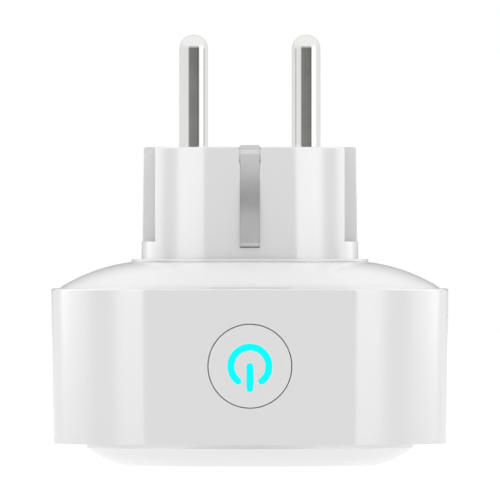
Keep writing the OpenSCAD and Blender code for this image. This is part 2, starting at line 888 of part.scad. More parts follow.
module link_header() {
    back = -flat_y + button_board_depth + button_board_t;
    color("black") translate([-header_size[0] / 2, back, board_z - header_size[2]])
        cube(header_size);
}

module leds() {
    led = [1.6, 1.6, 0.8];
    color("lightcyan") on_button_axis() for (x = [-4, 4])
        translate([x - led[0] / 2, -led[1] / 2, button_board_depth - led[2]]) cube(led);
}

// ---------- button ----------

module switch_body() {
    color("dimgray") on_button_axis() difference() {
        translate([-switch_w / 2, -switch_w / 2, switch_start])
            cube([switch_w, switch_w, switch_h]);
        translate([0, 0, switch_start - 1])
            cylinder(r = plunger_r + run_gap, h = plunger_end - switch_start + 1.5,
                $fn = small_fn);
    }
}

module switch_plunger() {
    color("black") on_button_axis() translate([0, 0, plunger_start])
        cylinder(r = plunger_r, h = plunger_end - plunger_start, $fn = small_fn);
}

// The power icon, as a ring with a gap at the bottom and a bar through the gap.
// On the button's axis +y points down
module icon(w, h) {
    ring_end = [icon_r * sin(icon_gap), icon_r * cos(icon_gap)];
    end_r = w / 2 - 0.02;
    rotate([0, 0, 90 + icon_gap]) rotate_extrude(angle = 360 - 2 * icon_gap)
        translate([icon_r - w / 2, 0]) square([w, h]);
    for (s = [-1, 1]) translate([s * ring_end[0], ring_end[1], 0])
        cylinder(r = end_r, h = h, $fn = small_fn);
    bar_top = -icon_bar_up + icon_w / 2;
    bar_bottom = bar_top + icon_bar_len - icon_w;
    translate([-w / 2, bar_top, 0]) cube([w, bar_bottom - bar_top, h]);
    for (y = [bar_top, bar_bottom]) translate([0, y, 0])
        cylinder(r = end_r, h = h, $fn = small_fn);
}

module button_cap() {
    color("white") on_button_axis() difference() {
        union() {
            cylinder(r = button_r, h = lip_start + lip_t);
            translate([0, 0, lip_start]) cylinder(r = lip_r, h = lip_t);
        }
        translate([0, 0, button_t]) cylinder(r = skirt_in_r, h = lip_start + lip_t);
        translate([0, 0, -1]) icon(icon_w + 2 * press_gap, button_t + 2);
    }
}

module light_guide() {
    color("cyan") on_button_axis() {
        icon(icon_w, button_t + 0.1);
        translate([0, 0, button_t]) cylinder(r = guide_r, h = guide_t);
    }
}

module button_spring() {
    color("silver") on_button_axis() translate([0, 0, guide_end + 0.02])
        coil(button_spring_r, button_spring_wire, 3.5,
            button_board_depth - guide_end - 0.04);
}

front_shell();
socket_cup();
cup_screws();
shutter();
shutter_spring();
contact_carrier();
centre_screw();
contact_live();
contact_neutral();
earth_spring_front();
earth_spring_rear();
earth_ring();
rear_cover();
plug_body();
plug_screws();
pin_live();
pin_neutral();
strap_live();
strap_neutral();
earth_clip_front();
earth_clip_rear();
main_board();
board_screws();
relay();
capacitor_main();
capacitor_output();
capacitor_film();
choke();
varistor();
fuse();
wireless_module();
button_board();
button_board_screws();
link_header();
leds();
switch_body();
switch_plunger();
button_cap();
button_spring();
light_guide();
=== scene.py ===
import bpy
import bmesh
import math
from mathutils import Matrix, Vector


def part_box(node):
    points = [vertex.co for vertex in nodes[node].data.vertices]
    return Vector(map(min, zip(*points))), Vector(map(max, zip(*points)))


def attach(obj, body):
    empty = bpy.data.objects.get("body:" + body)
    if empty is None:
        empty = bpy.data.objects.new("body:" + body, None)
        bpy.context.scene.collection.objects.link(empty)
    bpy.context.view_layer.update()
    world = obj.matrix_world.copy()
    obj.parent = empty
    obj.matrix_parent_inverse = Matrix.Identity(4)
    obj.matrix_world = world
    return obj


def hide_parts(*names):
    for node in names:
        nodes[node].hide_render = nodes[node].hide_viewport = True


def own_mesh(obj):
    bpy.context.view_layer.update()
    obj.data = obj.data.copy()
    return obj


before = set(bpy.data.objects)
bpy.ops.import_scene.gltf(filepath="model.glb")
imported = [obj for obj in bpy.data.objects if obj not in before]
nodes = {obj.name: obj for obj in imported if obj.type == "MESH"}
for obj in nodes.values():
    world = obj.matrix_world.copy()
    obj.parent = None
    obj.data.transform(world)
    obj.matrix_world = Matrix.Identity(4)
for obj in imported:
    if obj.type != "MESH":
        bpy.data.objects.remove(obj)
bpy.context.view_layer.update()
mm = 0.001


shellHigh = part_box("front_shell")[1]
coverLow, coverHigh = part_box("rear_cover")
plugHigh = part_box("plug_body")[1]
pinLow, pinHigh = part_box("pin_live")
capLow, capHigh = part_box("button_cap")

flatY = shellHigh.y
bandTop = shellHigh.z
domeTop = coverHigh.z
faceZ = plugHigh.z
tipZ = pinHigh.z
pinX = (pinLow.x + pinHigh.x) / 2
buttonZ = (capLow.z + capHigh.z) / 2
print("frame loaded:", len(nodes), "nodes")


def spunForm(points, steps):
    # turns a chain of (radius, height) points in mm round the plug's axis
    bm = bmesh.new()
    verts = [bm.verts.new((r * mm, 0, z * mm)) for r, z in points]
    edges = [bm.edges.new(pair) for pair in zip(verts, verts[1:])]
    bmesh.ops.spin(bm, geom=verts + edges, cent=(0, 0, 0), axis=(0, 0, 1), dvec=(0, 0, 0),
                   angle=2 * math.pi, steps=steps, use_merge=True, use_duplicate=False)
    bmesh.ops.remove_doubles(bm, verts=bm.verts, dist=2e-7)
    bmesh.ops.recalc_face_normals(bm, faces=bm.faces)
    return bm


def arcChain(centre, radius, startDeg, endDeg, steps):
    # points of an arc in mm, for a profile
    turn = [math.radians(startDeg + (endDeg - startDeg) * i / steps) for i in range(steps + 1)]
    return [(centre[0] + radius * math.cos(a), centre[1] + radius * math.sin(a)) for a in turn]


def arcBetween(p, q, radius, steps):
    # an arc from p to q that bulges to the right of the way from p to q
    p, q = Vector(p), Vector(q)
    along = q - p
    left = Vector((-along.y, along.x)).normalized()
    centre = (p + q) / 2 + left * math.sqrt(radius ** 2 - (along.length / 2) ** 2)
    start = math.degrees(math.atan2(p.y - centre.y, p.x - centre.x))
    end = math.degrees(math.atan2(q.y - centre.y, q.x - centre.x))
    return arcChain(centre, radius, start, end, steps)


def flattedDisc(radius, flat, softening, z, segments=256, cuts=44):
    # a disc with two flats across Y, whose corners are relaxed into soft fillets
    bm = bmesh.new()
    bmesh.ops.create_circle(bm, cap_ends=False, radius=radius * mm, segments=segments)
    for side in (1, -1):
        bmesh.ops.bisect_plane(bm, geom=bm.verts[:] + bm.edges[:], dist=1e-7,
                               plane_co=(0, side * flat * mm, 0), plane_no=(0, side, 0),
                               clear_outer=True)
        ends = [v for v in bm.verts if len(v.link_edges) == 1]
        chord = bm.edges.new(ends)
        bmesh.ops.subdivide_edges(bm, edges=[chord], cuts=cuts)
    corner = math.sqrt(radius ** 2 - flat ** 2) * mm
    near = [v for v in bm.verts if abs(abs(v.co.x) - corner) < (0.5 * softening + 1) * mm]
    for i in range(softening):
        bmesh.ops.smooth_vert(bm, verts=near, factor=0.5, use_axis_x=True, use_axis_y=True)
    bmesh.ops.edgeloop_fill(bm, edges=bm.edges[:])
    bmesh.ops.translate(bm, verts=bm.verts, vec=(0, 0, z * mm))
    bm.normal_update()
    if bm.faces[:][0].normal.z < 0:
        bmesh.ops.reverse_faces(bm, faces=bm.faces)
    return bm


def raiseFace(bm, face, height, keep=False):
    # pushes a flat face along Z and gives back the moved face
    made = bmesh.ops.extrude_face_region(bm, geom=[face], use_keep_orig=keep)
    top = [g for g in made["geom"] if isinstance(g, bmesh.types.BMFace)][0]
    bmesh.ops.translate(bm, verts=top.verts, vec=(0, 0, height * mm))
    if not keep and face.is_valid:
        bmesh.ops.delete(bm, geom=[face], context="FACES_ONLY")
    return top


def insetFace(bm, face, width, depth=0):
    # shrinks a face by a width and moves it along its own normal
    bmesh.ops.inset_region(bm, faces=[face], thickness=width * mm, depth=depth * mm,
                           use_even_offset=True, use_boundary=True)
    return face


def prism(disc, height):
    # a closed block from a flat disc
    face = disc.faces[:][0]
    top = raiseFace(disc, face, height, keep=True)
    bmesh.ops.recalc_face_normals(disc, faces=disc.faces)
    disc.faces.ensure_lookup_table()
    return disc, top


def block(low, high):
    # a closed box between two corners in mm
    bm = bmesh.new()
    low, high = Vector(low) * mm, Vector(high) * mm
    bmesh.ops.create_cube(bm, size=1)
    bmesh.ops.scale(bm, vec=high - low, verts=bm.verts)
    bmesh.ops.translate(bm, vec=(low + high) / 2, verts=bm.verts)
    return bm


def rod(start, end, radius, segments=64):
    # a closed round bar between two points in mm
    bm = bmesh.new()
    start, end = Vector(start) * mm, Vector(end) * mm
    turn = (end - start).to_track_quat("Z", "Y").to_matrix().to_4x4()
    bmesh.ops.create_cone(bm, cap_ends=True, segments=segments, radius1=radius * mm,
                          radius2=radius * mm, depth=(end - start).length,
                          matrix=Matrix.Translation((start + end) / 2) @ turn)
    return bm


def asObject(name, bm):
    mesh = bpy.data.meshes.new(name)
    bm.to_mesh(mesh)
    bm.free()
    obj = bpy.data.objects.new(name, mesh)
    bpy.context.scene.collection.objects.link(obj)
    return obj


def combine(obj, forms, operation):
    # joins forms to a piece, or cuts them out of it
    helpers = [asObject("helper", form) for form in forms]
    for helper in helpers:
        step = obj.modifiers.new(operation.lower(), "BOOLEAN")
        step.operation = operation
        step.solver = "EXACT"
        step.object = helper
    seen = obj.evaluated_get(bpy.context.evaluated_depsgraph_get())
    old = obj.data
    obj.data = bpy.data.meshes.new_from_object(seen)
    obj.modifiers.clear()
    bpy.data.meshes.remove(old)
    for helper in helpers:
        mesh = helper.data
        bpy.data.objects.remove(helper)
        bpy.data.meshes.remove(mesh)
    return obj


def softBevel(obj, width, angle=40, segments=3):
    # a live bevel on the sharper edges
    step = obj.modifiers.new("softEdges", "BEVEL")
    step.width = width * mm
    step.segments = segments
    step.limit_method = "ANGLE"
    step.angle_limit = math.radians(angle)
    step.harden_normals = False
    return step


def finishPiece(obj, material, body, slotName, *stoodFor, angle=28):
    # shading, material and the frame's bookkeeping for one piece
    mesh = obj.data
    for face in mesh.polygons:
        face.use_smooth = True
    mesh.set_sharp_from_angle(angle=math.radians(angle))
    weight = obj.modifiers.new("evenShading", "WEIGHTED_NORMAL")
    weight.keep_sharp = True
    weight.mode = "FACE_AREA"
    mesh.materials.clear()
    mesh.materials.append(material)
    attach(obj, body)
    if stoodFor:
        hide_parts(*stoodFor)
    return obj


def newGroup(name, inputs, outputs):
    tree = bpy.data.node_groups.new(name, "ShaderNodeTree")
    for label, kind, value in inputs:
        socket = tree.interface.new_socket(label, in_out="INPUT", socket_type=kind)
        socket.default_value = value
    for label, kind in outputs:
        tree.interface.new_socket(label, in_out="OUTPUT", socket_type=kind)
    return tree, tree.nodes.new("NodeGroupInput"), tree.nodes.new("NodeGroupOutput")


def addNode(tree, kind, values=None, links=None, **settings):
    node = tree.nodes.new(kind)
    for key, value in settings.items():
        setattr(node, key, value)
    for key, value in (values or {}).items():
        node.inputs[key].default_value = value
    for key, source in (links or {}).items():
        tree.links.new(source, node.inputs[key])
    return node


def mathNode(tree, operation, first, second):
    node = tree.nodes.new("ShaderNodeMath")
    node.operation = operation
    for socket, value in zip(node.inputs, (first, second)):
        if isinstance(value, (int, float)):
            socket.default_value = value
        else:
            tree.links.new(value, socket)
    return node.outputs[0]


def mixColour(tree, factor, first, second, blend="MIX"):
    node = tree.nodes.new("ShaderNodeMix")
    node.data_type = "RGBA"
    node.blend_type = blend
    for socket, value in ((node.inputs[0], factor), (node.inputs[6], first), (node.inputs[7], second)):
        if isinstance(value, (int, float)):
            socket.default_value = value
        elif isinstance(value, tuple):
            socket.default_value = value
        else:
            tree.links.new(value, socket)
    return node.outputs[2]


def makeMouldedGroup():
    # moulded plastic: faint flow clouds, a fine spark-eroded grain and light handling marks
    tree, inlet, outlet = newGroup("mouldedPlastic", [
        ("Colour", "NodeSocketColor", (0.8, 0.8, 0.8, 1)), ("Flow", "NodeSocketFloat", 0.03),
        ("Roughness", "NodeSocketFloat", 0.3), ("Grain size", "NodeSocketFloat", 2600),
        ("Marks", "NodeSocketFloat", 0.05)],
        [("Colour", "NodeSocketColor"), ("Roughness", "NodeSocketFloat"), ("Height", "NodeSocketFloat")])
    place = addNode(tree, "ShaderNodeTexCoord").outputs["Object"]
    clouds = addNode(tree, "ShaderNodeTexNoise", {"Scale": 55, "Detail": 3, "Roughness": 0.5},
                     {"Vector": place}).outputs["Fac"]
    grain = addNode(tree, "ShaderNodeTexNoise", {"Detail": 2, "Roughness": 0.6},
                    {"Vector": place, "Scale": inlet.outputs["Grain size"]}).outputs["Fac"]
    stretched = addNode(tree, "ShaderNodeMapping", {"Scale": (1, 1, 7), "Rotation": (0.5, 0.3, 0.2)},
                        {"Vector": place}).outputs[0]
    scuffs = addNode(tree, "ShaderNodeTexNoise", {"Scale": 420, "Detail": 5, "Roughness": 0.7},
                     {"Vector": stretched}).outputs["Fac"]
    scuffs = addNode(tree, "ShaderNodeMapRange", {"From Min": 0.58, "From Max": 0.74},
                     {"Value": scuffs}).outputs[0]
    change = mathNode(tree, "MULTIPLY", mathNode(tree, "SUBTRACT", clouds, 0.5), inlet.outputs["Flow"])
    shade = mathNode(tree, "ADD", 1, change)
    shadeColour = addNode(tree, "ShaderNodeCombineColor", None,
                          {"Red": shade, "Green": shade, "Blue": shade}).outputs[0]
    colour = mixColour(tree, 1.0, inlet.outputs["Colour"], shadeColour, "MULTIPLY")
    tree.links.new(colour, outlet.inputs["Colour"])
    rough = mathNode(tree, "ADD", inlet.outputs["Roughness"],
                     mathNode(tree, "MULTIPLY", mathNode(tree, "SUBTRACT", clouds, 0.5), 0.05))
    rough = mathNode(tree, "ADD", rough, mathNode(tree, "MULTIPLY", scuffs, inlet.outputs["Marks"]))
    tree.links.new(rough, outlet.inputs["Roughness"])
    height = mathNode(tree, "ADD", mathNode(tree, "MULTIPLY", clouds, 0.5), grain)
    tree.links.new(height, outlet.inputs["Height"])
    return tree


def makeDrawnGroup():
    # drawn or rolled metal: fine lines along Z and patches of tarnish
    tree, inlet, outlet = newGroup("drawnMetal", [
        ("Colour", "NodeSocketColor", (0.6, 0.6, 0.6, 1)),
        ("Tarnish", "NodeSocketColor", (0.3, 0.28, 0.25, 1)),
        ("Tarnish amount", "NodeSocketFloat", 0.15), ("Roughness", "NodeSocketFloat", 0.25),
        ("Line roughness", "NodeSocketFloat", 0.1), ("Stretch", "NodeSocketVector", (1, 1, 0.03))],
        [("Colour", "NodeSocketColor"), ("Roughness", "NodeSocketFloat"), ("Height", "NodeSocketFloat")])
    place = addNode(tree, "ShaderNodeTexCoord").outputs["Object"]
    drawn = addNode(tree, "ShaderNodeVectorMath", None, {0: place, 1: inlet.outputs["Stretch"]},
                    operation="MULTIPLY").outputs[0]
    lines = addNode(tree, "ShaderNodeTexNoise", {"Scale": 5200, "Detail": 3, "Roughness": 0.6},
                    {"Vector": drawn}).outputs["Fac"]
    patches = addNode(tree, "ShaderNodeTexNoise", {"Scale": 230, "Detail": 4, "Roughness": 0.6},
                      {"Vector": place}).outputs["Fac"]
    patches = addNode(tree, "ShaderNodeMapRange", {"From Min": 0.45, "From Max": 0.75},
                      {"Value": patches}).outputs[0]
    stained = mathNode(tree, "MULTIPLY", patches, inlet.outputs["Tarnish amount"])
    colour = mixColour(tree, stained, inlet.outputs["Colour"], inlet.outputs["Tarnish"])
    tree.links.new(colour, outlet.inputs["Colour"])
    rough = mathNode(tree, "ADD", inlet.outputs["Roughness"],
                     mathNode(tree, "MULTIPLY", mathNode(tree, "SUBTRACT", lines, 0.5),
                              inlet.outputs["Line roughness"]))
    rough = mathNode(tree, "ADD", rough, mathNode(tree, "MULTIPLY", stained, 0.3))
    tree.links.new(rough, outlet.inputs["Roughness"])
    tree.links.new(lines, outlet.inputs["Height"])
    return tree


moulded = makeMouldedGroup()
drawnMetal = makeDrawnGroup()


def startMaterial(name):
    material = bpy.data.materials.new(name)
    material.use_nodes = True
    tree = material.node_tree
    shader = tree.nodes["Principled BSDF"]
    return material, tree, shader


def placeGroup(tree, group, values):
    node = tree.nodes.new("ShaderNodeGroup")
    node.node_tree = group
    for key, value in values.items():
        node.inputs[key].default_value = value
    return node


def addBump(tree, shader, height, strength, distance):
    bump = addNode(tree, "ShaderNodeBump", {"Strength": strength, "Distance": distance * mm},
                   {"Height": height})
    tree.links.new(bump.outputs["Normal"], shader.inputs["Normal"])


def plasticMaterial(name, colour, roughness=0.3, flow=0.03, marks=0.05, grain=2600, bump=0.12,
                    specular=0.5, coat=0.0, depth=0.02):
    material, tree, shader = startMaterial(name)
    group = placeGroup(tree, moulded, {"Colour": (*colour, 1), "Flow": flow, "Roughness": roughness,
                                       "Grain size": grain, "Marks": marks})
    tree.links.new(group.outputs["Colour"], shader.inputs["Base Color"])
    tree.links.new(group.outputs["Roughness"], shader.inputs["Roughness"])
    addBump(tree, shader, group.outputs["Height"], bump, depth)
    shader.inputs["Specular IOR Level"].default_value = specular
    shader.inputs["Coat Weight"].default_value = coat
    shader.inputs["Coat Roughness"].default_value = 0.08
    return material


def metalMaterial(name, colour, tarnish, amount=0.15, roughness=0.25, lines=0.12,
                  stretch=(1, 1, 0.03), bump=0.06):
    material, tree, shader = startMaterial(name)
    group = placeGroup(tree, drawnMetal, {"Colour": (*colour, 1), "Tarnish": (*tarnish, 1),
                                          "Tarnish amount": amount, "Roughness": roughness,
                                          "Line roughness": lines, "Stretch": stretch})
    tree.links.new(group.outputs["Colour"], shader.inputs["Base Color"])
    tree.links.new(group.outputs["Roughness"], shader.inputs["Roughness"])
    addBump(tree, shader, group.outputs["Height"], bump, 0.01)
    shader.inputs["Metallic"].default_value = 1
    return material


finishValues = {
    "white": (0.80, 0.80, 0.80), "whiteRoughness": 0.2,
    "button": (0.81, 0.81, 0.81), "buttonRoughness": 0.2,
    "cup": (0.78, 0.78, 0.78), "cupRoughness": 0.34,
    "nickel": (0.86, 0.855, 0.84), "nickelRoughness": 0.06,
    "icon": (0.0, 1.0, 1.0, 1), "iconDeep": (0.0, 0.94, 0.95, 1), "iconGlow": 1.0,
}

whitePlastic = plasticMaterial("whiteShell", finishValues["white"], finishValues["whiteRoughness"],
                               flow=0.012, marks=0.03, bump=0.05)
buttonPlastic = plasticMaterial("whiteButton", finishValues["button"], finishValues["buttonRoughness"],
                                flow=0.01, marks=0.03, bump=0.05, grain=3400)
cupPlastic = plasticMaterial("whiteCup", finishValues["cup"], finishValues["cupRoughness"],
                             flow=0.02, marks=0.08, bump=0.1)
shutterPlastic = plasticMaterial("shutterNylon", (0.72, 0.73, 0.73), 0.42, flow=0.04, marks=0.1, bump=0.2)
carrierPlastic = plasticMaterial("carrierCream", (0.74, 0.70, 0.58), 0.5, flow=0.08, marks=0.1, bump=0.3)
blackPlastic = plasticMaterial("blackNylon", (0.022, 0.022, 0.024), 0.45, flow=0.3, marks=0.15, bump=0.3)
plungerPlastic = plasticMaterial("plungerBlack", (0.035, 0.035, 0.04), 0.35, flow=0.2, marks=0.1, bump=0.2)
relayPlastic = plasticMaterial("relayBlue", (0.012, 0.07, 0.28), 0.3, flow=0.1, marks=0.12, bump=0.2)
filmPlastic = plasticMaterial("filmYellow", (0.72, 0.42, 0.03), 0.34, flow=0.08, marks=0.12, bump=0.2)
fusePlastic = plasticMaterial("fuseBrown", (0.12, 0.06, 0.03), 0.4, flow=0.15, marks=0.12, bump=0.25)
varistorPlastic = plasticMaterial("varistorBlue", (0.02, 0.10, 0.30), 0.28, flow=0.2, marks=0.05,
                                  grain=900, bump=0.5, coat=0.3, depth=0.05)
ferritePlastic = plasticMaterial("chokeFerrite", (0.03, 0.03, 0.033), 0.55, flow=0.3, marks=0.2,
                                 grain=1800, bump=0.6, depth=0.05)

pinNickel = metalMaterial("pinNickel", finishValues["nickel"], (0.5, 0.46, 0.4), 0.06,
                          finishValues["nickelRoughness"], 0.03, (0.02, 0.02, 1), 0.012)
clipMetal = metalMaterial("clipNickel", (0.62, 0.62, 0.62), (0.35, 0.33, 0.3), 0.12, 0.3, 0.14,
                          (1, 1, 0.02), 0.08)
contactBrass = metalMaterial("contactBrass", (0.72, 0.48, 0.18), (0.3, 0.16, 0.05), 0.35, 0.28, 0.15,
                             (1, 1, 0.05), 0.1)
screwSteel = metalMaterial("screwZinc", (0.52, 0.53, 0.56), (0.28, 0.27, 0.22), 0.3, 0.34, 0.12,
                           (0.1, 0.1, 1), 0.1)
springSteel = metalMaterial("springSteel", (0.55, 0.55, 0.57), (0.3, 0.28, 0.25), 0.2, 0.25, 0.1,
                            (0.2, 0.2, 1), 0.05)
shieldTin = metalMaterial("shieldTin", (0.66, 0.67, 0.68), (0.4, 0.4, 0.38), 0.3, 0.38, 0.15,
                          (1, 0.05, 1), 0.1)


def makeBoardMaterial():
    # green solder mask over copper tracks, with tinned pads
    values = {"mask": (0.008, 0.12, 0.045, 1), "overCopper": (0.02, 0.22, 0.085, 1),
              "tin": (0.6, 0.6, 0.58, 1)}
    material, tree, shader = startMaterial("boardGreen")
    place = addNode(tree, "ShaderNodeTexCoord").outputs["Object"]
    cells = addNode(tree, "ShaderNodeTexVoronoi", {"Scale": 260, "Randomness": 0.75}, {"Vector": place},
                    distance="MANHATTAN", feature="F1")
    track = addNode(tree, "ShaderNodeMapRange", {"From Min": 0.42, "From Max": 0.46},
                    {"Value": cells.outputs["Distance"]}).outputs[0]
    padCells = addNode(tree, "ShaderNodeTexVoronoi", {"Scale": 330, "Randomness": 0.9}, {"Vector": place})
    pads = addNode(tree, "ShaderNodeMapRange", {"From Min": 0.2, "From Max": 0.16},
                   {"Value": padCells.outputs["Distance"]}).outputs[0]
    colour = mixColour(tree, track, values["mask"], values["overCopper"])
    colour = mixColour(tree, pads, colour, values["tin"])
    tree.links.new(colour, shader.inputs["Base Color"])
    tree.links.new(pads, shader.inputs["Metallic"])
    rough = mathNode(tree, "ADD", 0.28, mathNode(tree, "MULTIPLY", track, 0.12))
    tree.links.new(rough, shader.inputs["Roughness"])
    addBump(tree, shader, mathNode(tree, "ADD", track, pads), 0.3, 0.03)
    return material


def makeSleeveMaterial():
    # a capacitor's dark shrink sleeve with its pale stripe down one side
    material, tree, shader = startMaterial("capacitorSleeve")
    group = placeGroup(tree, moulded, {"Colour": (0.012, 0.014, 0.03, 1), "Flow": 0.3,
                                       "Roughness": 0.3, "Grain size": 1500.0, "Marks": 0.1})
    place = addNode(tree, "ShaderNodeTexCoord").outputs["Object"]
    wave = addNode(tree, "ShaderNodeTexWave", {"Scale": 60, "Distortion": 0.0}, {"Vector": place},
                   bands_direction="X").outputs["Fac"]
    stripe = addNode(tree, "ShaderNodeMapRange", {"From Min": 0.9, "From Max": 0.93},
                     {"Value": wave}).outputs[0]
    colour = mixColour(tree, stripe, group.outputs["Colour"], (0.45, 0.46, 0.48, 1))
    tree.links.new(colour, shader.inputs["Base Color"])
    tree.links.new(group.outputs["Roughness"], shader.inputs["Roughness"])
    addBump(tree, shader, group.outputs["Height"], 0.2, 0.02)
    return material


def makeIconMaterial():
    # the lit guide: a bright cyan glow, a touch deeper towards its faint grain
    material, tree, shader = startMaterial("iconLight")
    place = addNode(tree, "ShaderNodeTexCoord").outputs["Object"]
    cloud = addNode(tree, "ShaderNodeTexNoise", {"Scale": 900, "Detail": 2}, {"Vector": place}).outputs["Fac"]
    glow = mixColour(tree, cloud, finishValues["iconDeep"], finishValues["icon"])
    tree.links.new(glow, shader.inputs["Emission Color"])
    shader.inputs["Emission Strength"].default_value = finishValues["iconGlow"]
    base = mixColour(tree, cloud, (0.0, 0.05, 0.05, 1), (0.0, 0.06, 0.06, 1))
    tree.links.new(base, shader.inputs["Base Color"])
    rough = mathNode(tree, "ADD", 0.35, mathNode(tree, "MULTIPLY", cloud, 0.1))
    tree.links.new(rough, shader.inputs["Roughness"])
    shader.inputs["Specular IOR Level"].default_value = 0.1
    return material


def makeLensMaterial():
    # the small lamps' lens: pale resin with a yellow phosphor spot
    material, tree, shader = startMaterial("ledLens")
    place = addNode(tree, "ShaderNodeTexCoord").outputs["Object"]
    spots = addNode(tree, "ShaderNodeTexVoronoi", {"Scale": 500}, {"Vector": place}).outputs["Distance"]
    spot = addNode(tree, "ShaderNodeMapRange", {"From Min": 0.35, "From Max": 0.2},
                   {"Value": spots}).outputs[0]
    colour = mixColour(tree, spot, (0.75, 0.8, 0.78, 1), (0.7, 0.6, 0.1, 1))
    tree.links.new(colour, shader.inputs["Base Color"])
    rough = mathNode(tree, "ADD", 0.15, mathNode(tree, "MULTIPLY", spot, 0.2))
    tree.links.new(rough, shader.inputs["Roughness"])
    addBump(tree, shader, spot, 0.2, 0.02)
    return material


boardGreen = makeBoardMaterial()
sleeveDark = makeSleeveMaterial()
iconLight = makeIconMaterial()
ledLens = makeLensMaterial()
print("materials ready")


shellValues = {
    "radius": shellHigh.x / mm, "foot": 33.2, "ledge": 32.1, "flat": flatY / mm,
    "bandLow": 3.7, "ledgeZ": 3.04, "topFillet": 0.4, "softening": 5,
    "rimRadius": 21.15, "openingRadius": 20.8, "shoulderRadius": 27.6, "shoulderCurve": 19.6,
    "wall": 2.0, "rebate": 32.45, "rebateFlat": 27.55, "rebateZ": 27.0,
    "holeRadius": 7.12, "innerSoftening": 3, "innerHeight": 30, "rebateSoftening": 4, "rebateHeight": 8,
    "footStep": 0.9,
}


def makeFrontShell(v):
    disc = flattedDisc(v["radius"], v["flat"], v["softening"], v["bandLow"])
    bottom = disc.faces[:][0]
    top = raiseFace(disc, bottom, bandTop / mm - v["topFillet"] - v["bandLow"], keep=True)
    r = v["topFillet"]
    for i in range(4):  # the small round along the upper edge
        a, b = math.radians(22.5 * i), math.radians(22.5 * (i + 1))
        insetFace(disc, top, r * (math.cos(a) - math.cos(b)), r * (math.sin(b) - math.sin(a)))
    bmesh.ops.reverse_faces(disc, faces=[bottom])
    insetFace(disc, bottom, v["footStep"], v["bandLow"] - v["ledgeZ"])
    for vert in disc.verts:  # the side leans in a little towards the socket
        z = vert.co.z / mm
        t = min(max((bandTop / mm - z) / (bandTop / mm - v["bandLow"]), 0), 1)
        if z < v["bandLow"] - 0.01:
            vert.co.x *= v["ledge"] / (v["radius"] - v["footStep"])
        else:
            vert.co.x *= 1 + (v["foot"] / v["radius"] - 1) * t
    bmesh.ops.recalc_face_normals(disc, faces=disc.faces)
    shell = asObject("frontShell", disc)
    curve = arcBetween((v["rimRadius"], 0), (v["shoulderRadius"], v["ledgeZ"]), v["shoulderCurve"], 14)
    shoulder = spunForm([(0, 0)] + curve + [(v["shoulderRadius"], 4), (0, 4)], 224)
    combine(shell, [shoulder], "UNION")
    inner = prism(flattedDisc(v["foot"] - v["wall"], v["flat"] - v["wall"], v["innerSoftening"],
                              v["ledgeZ"] + v["wall"], 128, 16), v["innerHeight"])[0]
    rebate = prism(flattedDisc(v["rebate"], v["rebateFlat"], v["rebateSoftening"], v["rebateZ"], 256, 40),
                   v["rebateHeight"])[0]
    opening = rod((0, 0, -2), (0, 0, 8), v["openingRadius"], 192)
    y, z = -flatY / mm, buttonZ / mm
    hole = rod((0, y - 2, z), (0, y + 4, z), v["holeRadius"], 128)
    combine(shell, [inner, rebate, opening, hole], "DIFFERENCE")
    return shell


frontShell = makeFrontShell(shellValues)
finishPiece(frontShell, whitePlastic, "housing", "white_shell", "front_shell", angle=24)
print("front shell made")


coverValues = {
    "radius": coverHigh.x / mm, "flat": coverHigh.y / mm, "low": coverLow.z / mm, "softening": 5,
    "edgeSoft": 0.12, "curve": 30.0, "topRadius": 20.1, "mouth": 15.6, "wall": 1.6, "steps": 16,
}


def makeRearCover(v):
    disc = flattedDisc(v["radius"] - v["edgeSoft"], v["flat"] - v["edgeSoft"], v["softening"], v["low"])
    lowFace = disc.faces[:][0]
    raised = raiseFace(disc, lowFace, bandTop / mm - 0.1 - v["low"], keep=True)
    dome = arcBetween((v["radius"], bandTop / mm), (v["topRadius"], domeTop / mm), v["curve"], v["steps"])
    previous = v["radius"] - v["edgeSoft"]
    for r, z in dome[1:]:
        raised = raiseFace(disc, raised, 0)
        shrink = max(r - v["topRadius"], 0) / (previous - v["topRadius"])
        for vert in raised.verts:  # each ring is drawn in towards the round flange
            length = math.hypot(vert.co.x, vert.co.y) / mm
            reach = v["topRadius"] + (length - v["topRadius"]) * shrink
            vert.co.x *= reach / length
            vert.co.y *= reach / length
            vert.co.z = z * mm
        previous = r
    insetFace(disc, raised, v["topRadius"] - v["mouth"])
    bmesh.ops.recalc_face_normals(disc, faces=disc.faces)
    bmesh.ops.delete(disc, geom=[raised, lowFace], context="FACES_ONLY")
    cover = asObject("rearCover", disc)
    wall = cover.modifiers.new("wall", "SOLIDIFY")
    wall.thickness = v["wall"] * mm
    wall.offset = -1
    return cover


rearCover = makeRearCover(coverValues)
finishPiece(rearCover, whitePlastic, "housing", "white_shell", "rear_cover", angle=35)
print("rear cover made")


plugValues = {
    "radius": 18.05, "foot": 18.32, "flat": 16.67, "softening": 5, "flange": 20.0, "flangeLow": domeTop / mm,
    "flangeHigh": domeTop / mm + 0.5, "channelX": 15.97, "channelHalf": 2.3, "fin": 0.8, "channelLow": 37.86,
    "topSoft": 0.35, "clipHalf": 1.655, "clipTopHalf": 1.825, "clipLow": 36.8, "clipY": 15.7, "pinHole": 2.5,
    "cavityRadius": 15.6, "cavityX": 14.4, "cavityY": 14.9, "plate": 2.6,
}


